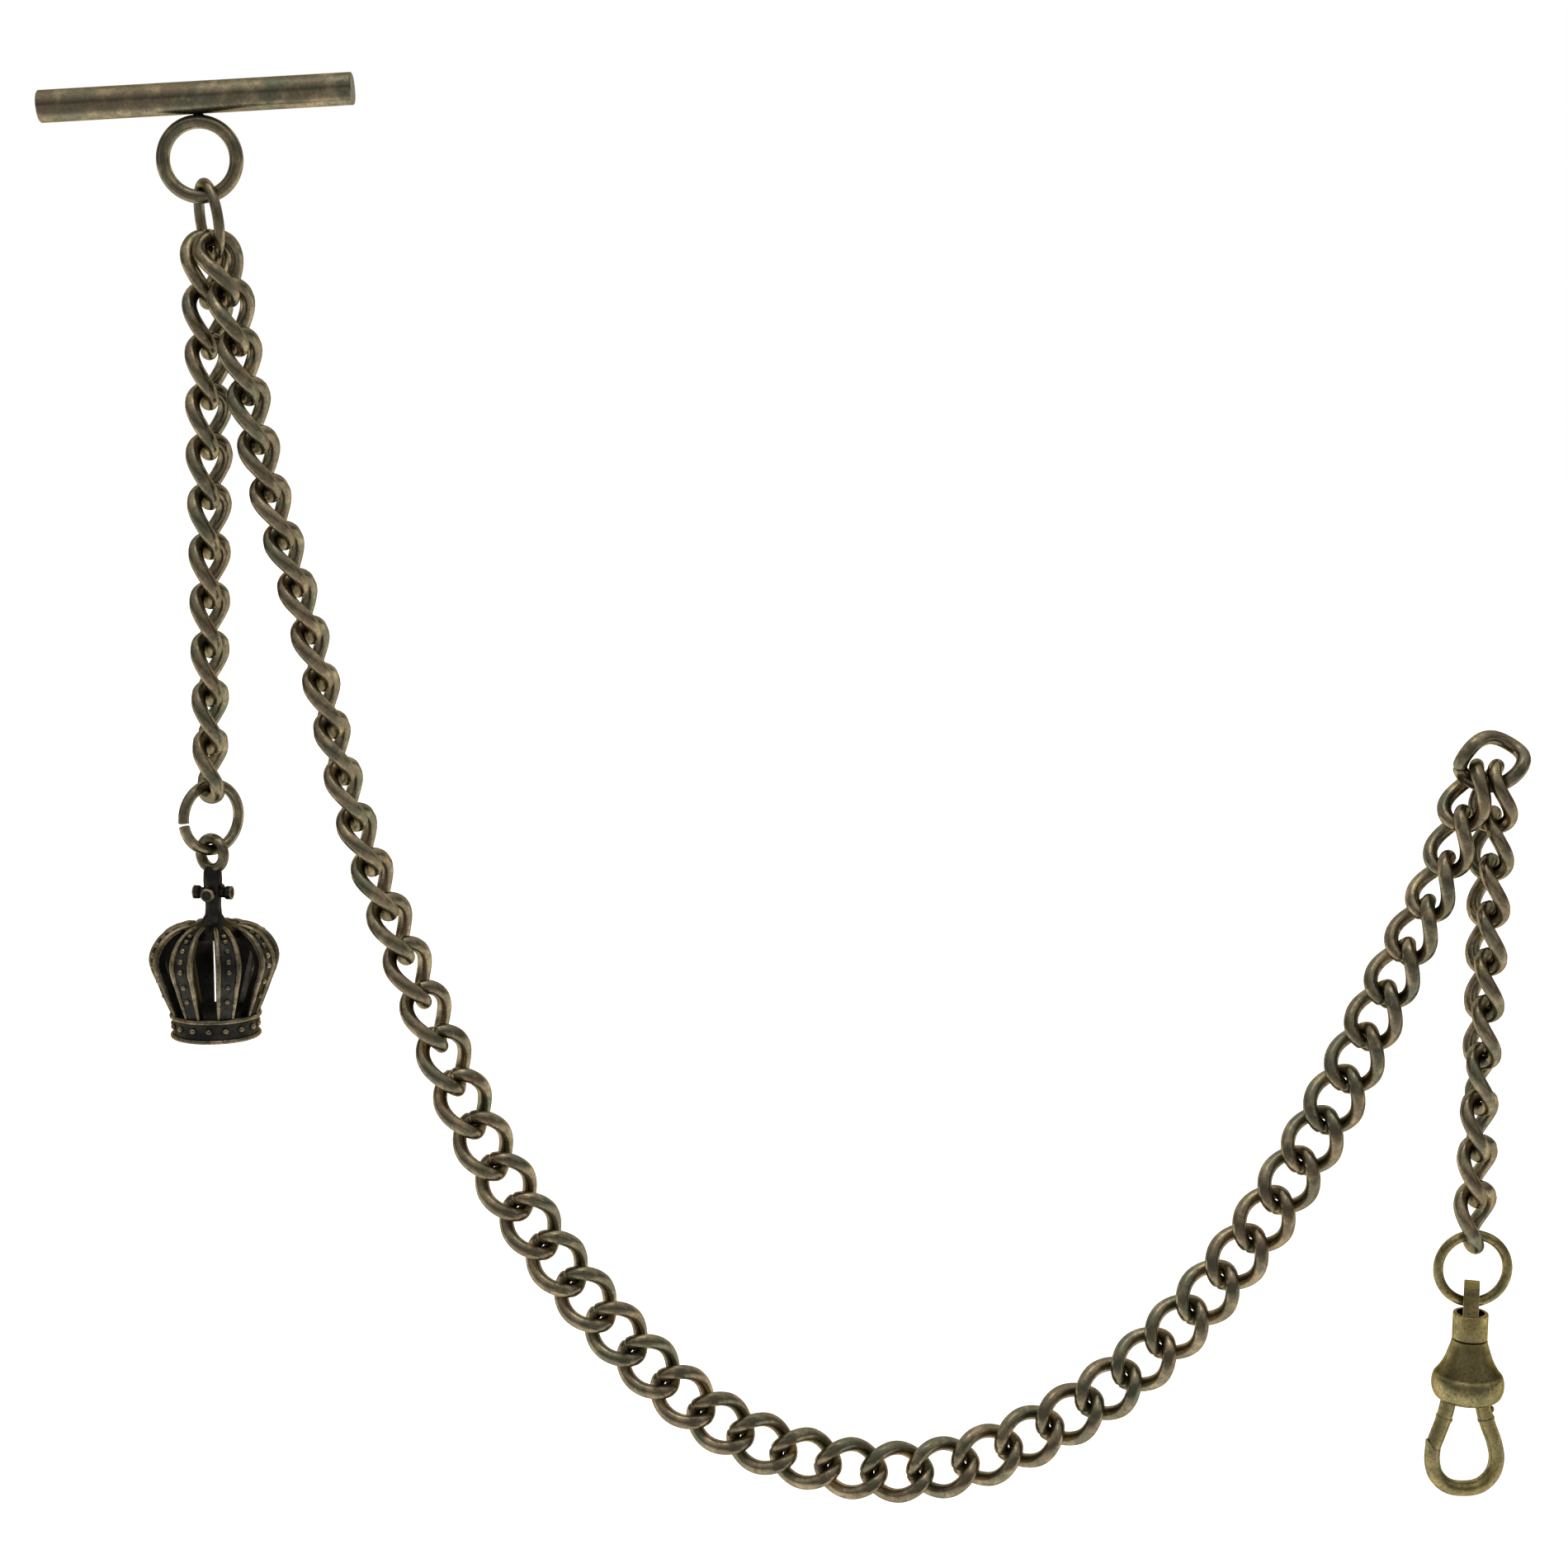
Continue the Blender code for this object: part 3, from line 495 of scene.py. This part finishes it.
def smooth_route(points, samples):
    """A curve through every point, as a dense polyline."""
    points = [Vector(p) for p in points]
    padded = [points[0] * 2.0 - points[1]] + points + [points[-1] * 2.0 - points[-2]]
    dense = []
    for p0, p1, p2, p3 in zip(padded, padded[1:], padded[2:], padded[3:]):
        span, span0, span3 = (p2 - p1).length, (p1 - p0).length, (p3 - p2).length
        slope1 = (p1 - p0) / span0 * span + (p2 - p1) / span * span0
        slope1 = slope1 * span / (span + span0)
        slope2 = (p3 - p2) / span3 * span + (p2 - p1) / span * span3
        slope2 = slope2 * span / (span + span3)
        for n in range(samples):
            t = n / samples
            dense.append(p1 * (2 * t ** 3 - 3 * t ** 2 + 1) + slope1 * (t ** 3 - 2 * t ** 2 + t)
                         + p2 * (3 * t ** 2 - 2 * t ** 3) + slope2 * (t ** 3 - t ** 2))
    dense.append(points[-1])
    return dense


def equal_steps(dense, count):
    """Points that cut the polyline into equal lengths."""
    lengths = [0.0]
    for a, b in zip(dense, dense[1:]):
        lengths.append(lengths[-1] + (b - a).length)
    joints = []
    place = 0
    for n in range(count + 1):
        target = lengths[-1] * n / count
        while place < len(dense) - 2 and lengths[place + 1] < target:
            place += 1
        part = (target - lengths[place]) / (lengths[place + 1] - lengths[place])
        joints.append(dense[place].lerp(dense[place + 1], part))
    return joints


def between(stations, position):
    """The value at a position, straight between the (position, value) stations."""
    for (x0, v0), (x1, v1) in zip(stations, stations[1:]):
        if position <= x1:
            return v0 + (v1 - v0) * (position - x0) / (x1 - x0)
    return stations[-1][1]


def link_frame(direction):
    """Unit vectors along a link, across it and towards its front."""
    along = Vector(direction).normalized()
    side = Vector((0.0, -1.0, 0.0)).cross(along).normalized()
    return along, side, along.cross(side)


def oval_points(centre, direction, roll, half, twist, steps):
    """Centreline of an oval link whose ends are twisted against each other."""
    along, side, front = link_frame(direction)
    points = []
    for n in range(steps):
        turn = 2.0 * math.pi * n / steps
        reach = -half[0] * math.cos(turn)
        tilt = math.radians(roll - twist * reach / half[0])
        points.append(Vector(centre) + along * reach
                      + (side * math.cos(tilt) + front * math.sin(tilt)) * half[1] * math.sin(turn))
    return points


def curb_link(centre, direction, roll):
    """A twisted link, pressed flat where it is thickest, with a butt seam at one end."""
    centre = Vector(centre)
    points = oval_points(centre, direction, roll, LINK_HALF, LINK_TWIST, LINK_STEPS)
    radii = [LINK_WIRE * SEAM_DEPTH] + [LINK_WIRE] * (LINK_STEPS - 1)
    verts, faces = tube(points, radii, LINK_SIDES, True)
    _, side, front = link_frame(direction)
    tilt = math.radians(roll)
    face = front * math.cos(tilt) - side * math.sin(tilt)
    for n, vert in enumerate(verts):
        height = (vert - centre).dot(face)
        extra = abs(height) - LINK_FACE
        if extra > 0.0:
            verts[n] = vert - face * math.copysign(extra, height)
    return verts, faces


def chain(prefix, joints, rolls, bodies, nodes):
    """One curb link between each pair of joints; the first on each CAD node stands for it."""
    used = set()
    for n in range(len(joints) - 1):
        start, end = joints[n], joints[n + 1]
        shape = curb_link((start + end) / 2.0, end - start, between(rolls, n + 1))
        node = nodes[n] if nodes[n] not in used else None
        used.add(nodes[n])
        piece(f"{prefix}_{n + 1:02d}", shape, "bronze", bodies[n], node, smooth_angle=28.0)


def hanging_joints(top, count, pitch, lean):
    """The joints of a chain that hangs down below its first few, leaning sideways at every link."""
    joints = [Vector(p) for p in top]
    while len(joints) < count + 1:
        joints.append(joints[-1] + Vector((lean, 0.0, -pitch)))
    return joints


def round_ring(centre, radius, steps, yaw=0.0, start=0.0, sweep=360.0):
    """Centreline of an upright ring, turned from the X-Z plane by the yaw."""
    across = Vector((math.cos(math.radians(yaw)), math.sin(math.radians(yaw)), 0.0)) * radius
    points = []
    for n in range(steps):
        turn = math.radians(start + sweep * n / (steps if sweep == 360.0 else steps - 1))
        rise = Vector((0.0, 0.0, radius * math.cos(turn)))
        points.append(Vector(centre) + across * math.sin(turn) + rise)
    return points


# -------------------------------------------------------------------- chain

def owner(prefix, number):
    """The CAD node and body that hold a main-chain link."""
    for body, nodes in frame["record"]["behaviour"]["bodies"].items():
        for node in nodes:
            if node.startswith(prefix):
                first, last = (int(part) for part in node.split("_")[-2:])
                if first <= number <= last:
                    return node, body
    raise ValueError(f"no node holds link {number}")


def make_chains():
    owners = [owner("main_links", n + 1) for n in range(MAIN_LINKS)]
    joints = equal_steps(smooth_route(MAIN_ROUTE, 60), MAIN_LINKS)
    chain("main_link", joints, MAIN_ROLLS, [body for _, body in owners], [node for node, _ in owners])
    for name, top, count, pitch, lean, rolls in (
            ("fob", FOB_TOP, FOB_LINKS, FOB_PITCH, FOB_LEAN, FOB_ROLLS),
            ("drop", DROP_TOP, DROP_LINKS, DROP_PITCH, 0.0, DROP_ROLLS)):
        numbers = range(1, count + 1)
        chain(f"{name}_link_fine", hanging_joints(top, count, pitch, lean), rolls,
              [f"{name}_{n:02d}" for n in numbers], [f"{name}_link_{n:02d}" for n in numbers])
    piece("hook_link_fine", curb_link(*HOOK_LINK), "bronze", "held_ends", "hook_link", 28.0)


def make_bar():
    tilt = math.radians(BAR_TILT)
    way = Vector((math.cos(tilt), 0.0, math.sin(tilt)))
    half = BAR_LENGTH / 2.0
    stations = [(-half, BAR_RADIUS - BAR_EDGE), (-half + BAR_EDGE, BAR_RADIUS)]
    stations += [(reach, BAR_RADIUS) for reach in (-half * 0.5, 0.0, half * 0.5)]
    stations += [(half - BAR_EDGE, BAR_RADIUS), (half, BAR_RADIUS - BAR_EDGE)]
    points = [Vector(BAR_CENTRE) + way * reach for reach, _ in stations]
    radii = [radius for _, radius in stations]
    piece("t_bar_fine", tube(points, radii, 64), "bronze", "held_ends", "t_bar")
    centre, radius, wire = BAR_RING
    piece("t_bar_ring_fine", tube(round_ring(centre, radius, 96), wire, 20, True), "bronze",
          "held_ends", "t_bar_ring")
    top = Vector(centre) + Vector((0.0, 0.0, radius + wire * 0.35))
    solder = [top + Vector((reach, 0.0, SOLDER_RISE)) for reach, _ in SOLDER]
    piece("bar_solder", tube(solder, [thick for _, thick in SOLDER], 16), "bronze", "held_ends")
    centre, direction, yaw, halves, wire = CONNECTOR
    piece("connector_fine", tube(oval_points(centre, direction, yaw, halves, 0.0, 72), wire, 18, True),
          "bronze", "swag_01", "connector_link")


# -------------------------------------------------------------------- crown

def smooth_outline(points, samples):
    """A smooth outline through (height, radius) points."""
    return [(p.z, p.x) for p in smooth_route([(radius, 0.0, z) for z, radius in points], samples)]


def crown_at(z, radius, angle):
    """The point at a distance from the crown's axis, at an angle from +X towards +Y."""
    turn = math.radians(angle)
    return Vector((FOB_X + radius * math.cos(turn), FOB_Y + radius * math.sin(turn), z))


def inset(rows, wall):
    """The same profile, moved inwards by the wall thickness; its last row stays level."""
    moved = []
    for place, (z, radius) in enumerate(rows):
        above = rows[max(place - 1, 0)]
        below = rows[min(place + 1, len(rows) - 1)]
        fall, spread = below[0] - above[0], below[1] - above[1]
        length = math.hypot(fall, spread)
        moved.append((z - wall * spread / length, radius + wall * fall / length))
    return moved[:-1] + [(rows[-1][0], rows[-1][1] - wall)]


def crown_shell():
    """Stem, dome, straps and band as one wall with open spaces between the straps."""
    columns = []
    strap_angle = 2.0 * CROWN_HALF_ANGLE
    gap_angle = 360.0 / CROWN_STRAPS - strap_angle
    for strap in range(CROWN_STRAPS):
        start = CROWN_TURN + 360.0 * strap / CROWN_STRAPS - CROWN_HALF_ANGLE
        for n in range(STRAP_COLUMNS):
            columns.append((start + strap_angle * n / STRAP_COLUMNS, False))
        for n in range(STRAP_COLUMNS):
            columns.append((start + strap_angle + gap_angle * n / STRAP_COLUMNS, True))
    count = len(columns)
    curve = smooth_outline(CROWN_OUTER, 5)
    outer_rows = [CROWN_STEM[-1]] + curve + CROWN_BAND[1:]
    verts = []

    def ring(z, radius):
        first = len(verts)
        verts.extend(crown_at(z, radius, angle) for angle, _ in columns)
        return first

    faces = []
    verts.append(crown_at(CROWN_STEM[0][0], 0.0, 0.0))
    stem = [ring(z, radius) for z, radius in CROWN_STEM[1:]]
    outer = [stem[-1]] + [ring(z, radius) for z, radius in outer_rows[1:]]
    inner = [ring(z, radius) for z, radius in inset(outer_rows, CROWN_WALL)]
    open_rows = range(1, len(curve))
    verts.append(crown_at(outer_rows[0][0] - CROWN_WALL - POLE_DROP, 0.0, 0.0))
    bottom_pole = len(verts) - 1
    for n in range(count):
        after = (n + 1) % count
        faces.append((0, stem[0] + n, stem[0] + after))
        faces.append((bottom_pole, inner[0] + after, inner[0] + n))
        for low, high in zip(stem, stem[1:]):
            faces.append((low + n, high + n, high + after, low + after))
        faces.append((outer[-1] + n, inner[-1] + n, inner[-1] + after, outer[-1] + after))
        is_gap = columns[n][1]
        for row in range(len(outer) - 1):
            if row in open_rows and is_gap:
                for edge, here in ((n, columns[n - 1][1]), (after, columns[after][1])):
                    if not here:
                        faces.append((outer[row] + edge, inner[row] + edge, inner[row + 1] + edge,
                                      outer[row + 1] + edge))
                continue
            faces.append((outer[row] + n, outer[row + 1] + n,
                          outer[row + 1] + after, outer[row] + after))
            faces.append((inner[row] + n, inner[row] + after,
                          inner[row + 1] + after, inner[row + 1] + n))
        if is_gap:
            for row in (open_rows[0], open_rows[-1] + 1):
                faces.append((outer[row] + n, outer[row] + after, inner[row] + after, inner[row] + n))
    return verts, faces


def make_crown():
    piece("crown_body", crown_shell(), "crown_dark", "crown", "crown_charm", 30.0)
    curve = smooth_outline([RIB_TOP] + CROWN_OUTER, 8)
    last = len(curve) - 1
    taper = [RIB_WIRE[0] + RIB_WIRE[1] * math.sin(math.pi * n / last) for n in range(len(curve))]
    first_row, free_rows = STRAP_BEAD_ROWS
    ribs = []
    beads = []
    for strap in range(CROWN_STRAPS):
        middle = CROWN_TURN + 360.0 * strap / CROWN_STRAPS
        for edge in (-1.0, 1.0):
            angle = middle + edge * (CROWN_HALF_ANGLE - RIB_INSET)
            points = [crown_at(z, radius - RIB_SINK, angle) for z, radius in curve]
            ribs.append(tube(points, taper, 10))
        for n in range(STRAP_BEADS):
            z, radius = curve[first_row + n * (len(curve) - free_rows) // STRAP_BEADS]
            beads.append(crown_at(z, radius, middle))
    piece("crown_ribs", joined(ribs), "crown_worn", "crown")
    piece("crown_strap_beads", balls(beads, STRAP_BEAD_RADIUS), "crown_worn", "crown")
    rims = []
    for z, radius, wire in CROWN_RIMS:
        points = [crown_at(z, radius, 360.0 * n / 96) for n in range(96)]
        rims.append(tube(points, wire, 10, True))
    piece("crown_rims", joined(rims), "crown_worn", "crown")
    band = [crown_at(*BAND_BEAD_ROW, CROWN_TURN + 360.0 * n / BAND_BEADS) for n in range(BAND_BEADS)]
    piece("crown_band_beads", balls(band, BAND_BEAD_RADIUS), "crown_worn", "crown")
    height, halves, wire, yaw = CROWN_LOOP
    loop = oval_points((FOB_X, FOB_Y, height), (0.0, 0.0, -1.0), yaw, halves, 0.0, 64)
    piece("crown_loop", tube(loop, wire, 16, True), "crown_worn", "crown")
    make_cross()


def make_cross():
    """Four short arms with a worn rim round the end of each."""
    reach, rim_radius, rim_wire = CROSS_RIM
    thickness = [thick for _, thick in CROWN_CROSS_ARM]
    arms = []
    rims = []
    for n in range(4):
        angle = CROWN_CROSS_TURN + 90.0 * n
        arm = [crown_at(CROWN_CROSS_Z, distance, angle) for distance, _ in CROWN_CROSS_ARM]
        arms.append(tube(arm, thickness, 20))
        end = crown_at(CROWN_CROSS_Z, reach, angle)
        across = (crown_at(CROWN_CROSS_Z, reach + 1.0, angle + 90.0)
                  - crown_at(CROWN_CROSS_Z, reach, angle + 90.0))
        circle = []
        for step in range(32):
            turn = math.radians(360.0 * step / 32)
            offset = across * math.cos(turn) + Vector((0.0, 0.0, math.sin(turn)))
            circle.append(end + offset * rim_radius)
        rims.append(tube(circle, rim_wire, 8, True))
    piece("crown_cross", joined(arms), "crown_dark", "crown")
    piece("crown_cross_rims", joined(rims), "crown_worn", "crown")


def make_jump_ring():
    middle, width = JUMP_RING_CUT
    points = round_ring((FOB_X, FOB_Y, JUMP_RING_Z), JUMP_RING_RADIUS, 90, JUMP_RING_YAW,
                        middle + width / 2.0, 360.0 - width)
    piece("jump_ring_fine", tube(points, JUMP_RING_WIRE, 20), "bronze", "jump_ring", "jump_ring")


# -------------------------------------------------------------------- clasp

def clasp_point(across, height, depth=0.0):
    """A point measured from the axis of the clasp drop; depth is away from the camera."""
    return Vector((CLASP_X + across, CLASP_Y + depth, height))


def slab(outline, half):
    """A flat plate whose depth and height follow the outline, centred on the clasp's own axis."""
    count = len(outline)
    verts = [clasp_point(side, height, depth) for side in (-half, half) for depth, height in outline]
    faces = [tuple(range(count)), tuple(range(2 * count - 1, count - 1, -1))]
    faces += [(n, n + count, (n + 1) % count + count, (n + 1) % count) for n in range(count)]
    return verts, faces


def spun(shape, axis, angle):
    """A shape turned about an upright axis."""
    verts, faces = shape
    spin = Matrix.Rotation(math.radians(angle), 3, "Z")
    return [axis + spin @ (Vector(v) - axis) for v in verts], faces


def make_swivel():
    height, radius, wire = CLASP_RING
    ring = round_ring(clasp_point(0.0, height), radius, 96)
    piece("clasp_ring_fine", tube(ring, wire, 20, True), "brass", "clasp_ring", "clasp_ring")
    axis = clasp_point(0.0, 0.0)
    floor_top, floor_base = COLLAR_FLOOR
    cup = [(EYE_HOLE[1], COLLAR_RADIUS - 0.08), (EYE_HOLE[1] - 0.1, COLLAR_RADIUS),
           (floor_base + 0.1, COLLAR_RADIUS), (floor_base, COLLAR_RADIUS - 0.1),
           (floor_base, POST_BORE), (floor_top, POST_BORE),
           (floor_top, COLLAR_INSIDE), (EYE_HOLE[1], COLLAR_INSIDE)]
    piece("swivel_collar", revolve(cup, axis, 64), "brass", "swivel_eye", "swivel_eye", 30.0)
    half, depth, crest, chamfer = STAPLE
    foot = floor_top - 0.2
    outline = [(-depth, foot), (-depth, EYE_TOP - chamfer), (-crest, EYE_TOP),
               (crest, EYE_TOP), (depth, EYE_TOP - chamfer), (depth, foot)]
    staple = piece("swivel_staple", spun(slab(outline, half), axis, EYE_TURN), "brass", "swivel_eye")
    hole = box(clasp_point(-2.0, floor_top + 1.0, -1.0), clasp_point(2.0, EYE_HOLE[0], 1.0))
    boolean(staple, spun(hole, axis, EYE_TURN), "DIFFERENCE")
    bevel(staple, STAPLE_EDGE)


def make_hook():
    axis = clasp_point(0.0, 0.0)
    bell_curve = [BELL_OUTER[0]] + smooth_outline(BELL_OUTER[1:], 4)
    shell = revolve(bell_curve + BELL_INNER, axis, 72)
    bell = piece("bell_fine", shell, "bell_brass", "snap_hook", "bell", 30.0)
    reach, width, low, high = BELL_SLOT
    boolean(bell, box(clasp_point(-reach, low, -width), clasp_point(reach, high, width)), "DIFFERENCE")
    slope = Vector((CUT_DIRECTION[0], 0.0, CUT_DIRECTION[1])).normalized()
    normal = Vector((-slope.z, 0.0, slope.x))
    hook_cut = (clasp_point(*CUT_POINT) - normal * CUT_GAP / 2.0, normal)
    gate_cut = (clasp_point(*CUT_POINT) + normal * CUT_GAP / 2.0, normal)
    hook_line = smooth_route([clasp_point(*p) for p in HOOK_PATH], 8)
    piece("hook_fine", tube(hook_line, HOOK_WIRE, 28, False, hook_cut), "brass", "snap_hook", "hook")
    for name, body, low, high in SHOULDERS:
        piece(name, tube([clasp_point(*low), clasp_point(*high)], SHOULDER_RADIUS, 28), "brass", body)
    head = [clasp_point(*p) for p in PIN_HEAD]
    piece("hook_pin_head", tube(head, PIN_HEAD_RADII, 20), "brass", "snap_hook")
    gate_line = smooth_route([clasp_point(*p) for p in GATE_PATH], 8)
    gate = piece("gate_fine", tube(gate_line, HOOK_WIRE, 28, False, gate_cut), "brass", "gate", "gate")
    half, back, front = TANG
    tang = box(clasp_point(PIN_AT[0] - half, GATE_PATH[0][1] - 0.3, back),
               clasp_point(PIN_AT[0] + half, PIN_AT[1] + 0.2, front))
    knuckle = [clasp_point(PIN_AT[0], PIN_AT[1], depth) for depth in (back, front)]
    boolean(gate, tang, "UNION")
    boolean(gate, tube(knuckle, half, 32), "UNION")
    # These three are shown as they are in CAD.
    for name, look in (("gate_pin", "brass"), ("gate_spring", "steel"), ("swivel_post", "brass")):
        shown = frame["nodes"][name]
        shown.data.materials.clear()
        shown.data.materials.append(LOOKS[look])
        shown.data.polygons.foreach_set("use_smooth", [True] * len(shown.data.polygons))
        shown.data.set_sharp_from_angle(angle=math.radians(SHOWN_SHARP_ANGLE))


# -------------------------------------------------------------------- stage

def make_floor():
    bpy.ops.mesh.primitive_plane_add(size=FLOOR_SIZE, location=(FLOOR_X, 0.0, FLOOR_Z * MM))
    floor = bpy.context.object
    floor.name = "floor"
    made, nodes, links, shader = shader_nodes("floor_white")
    place = nodes.new("ShaderNodeSeparateXYZ")
    links.new(nodes.new("ShaderNodeTexCoord").outputs["Object"], place.inputs[0])
    far = remap(nodes, links, place.outputs["Y"], *FLOOR_FADE, 0.0, 1.0)
    links.new(blend_colour(nodes, links, far, FLOOR_NEAR, FLOOR_FAR), shader.inputs["Base Color"])
    shader.inputs["Roughness"].default_value = 0.9
    shader.inputs["Specular IOR Level"].default_value = 0.0
    shader.inputs["Emission Color"].default_value = (*WHITE, 1.0)
    links.new(math_node(nodes, links, "MULTIPLY", far, FLOOR_GLOW), shader.inputs["Emission Strength"])
    floor.data.materials.append(made)


def make_world():
    """A light tent: brighter towards the top, and white behind the chain."""
    world = bpy.data.worlds.new("light_tent")
    bpy.context.scene.world = world
    world.use_nodes = True
    nodes, links = world.node_tree.nodes, world.node_tree.links
    split = nodes.new("ShaderNodeSeparateXYZ")
    links.new(nodes.new("ShaderNodeTexCoord").outputs["Generated"], split.inputs[0])
    rise = nodes.new("ShaderNodeValToRGB")
    for element, (position, grey) in zip(rise.color_ramp.elements, WORLD_RAMP):
        element.position = position
        element.color = (grey, grey, grey, 1.0)
    links.new(remap(nodes, links, split.outputs["Z"], -1.0, 1.0, 0.0, 1.0), rise.inputs["Fac"])
    back = remap(nodes, links, split.outputs["Y"], *WORLD_BACK, 0.0, 1.0)
    colour = blend_colour(nodes, links, back, rise.outputs["Color"], WHITE)
    background = nodes["Background"]
    links.new(colour, background.inputs["Color"])
    background.inputs["Strength"].default_value = 1.0


def make_lamps():
    for name, place, size, power in LAMPS:
        light = bpy.data.lights.new(name, "AREA")
        light.size = size
        light.energy = power
        lamp = bpy.data.objects.new(name, light)
        lamp.location = place
        aim = Vector(LIGHT_AIM) - Vector(place)
        lamp.rotation_euler = aim.to_track_quat("-Z", "Y").to_euler()
        bpy.context.collection.objects.link(lamp)


def make_camera():
    bpy.context.scene.view_settings.view_transform = "Standard"
    camera = bpy.data.objects.new("camera", bpy.data.cameras.new("camera"))
    camera.location = Vector(CAMERA_AT) * MM
    camera.rotation_euler = [math.radians(a) for a in CAMERA_TURN]
    camera.data.lens = CAMERA_LENS
    camera.data.sensor_width = CAMERA_SENSOR
    camera.data.clip_start = 0.01
    bpy.context.collection.objects.link(camera)
    bpy.context.scene.camera = camera


make_chains()
make_bar()
make_crown()
make_jump_ring()
make_swivel()
make_hook()
make_floor()
make_world()
make_lamps()
make_camera()
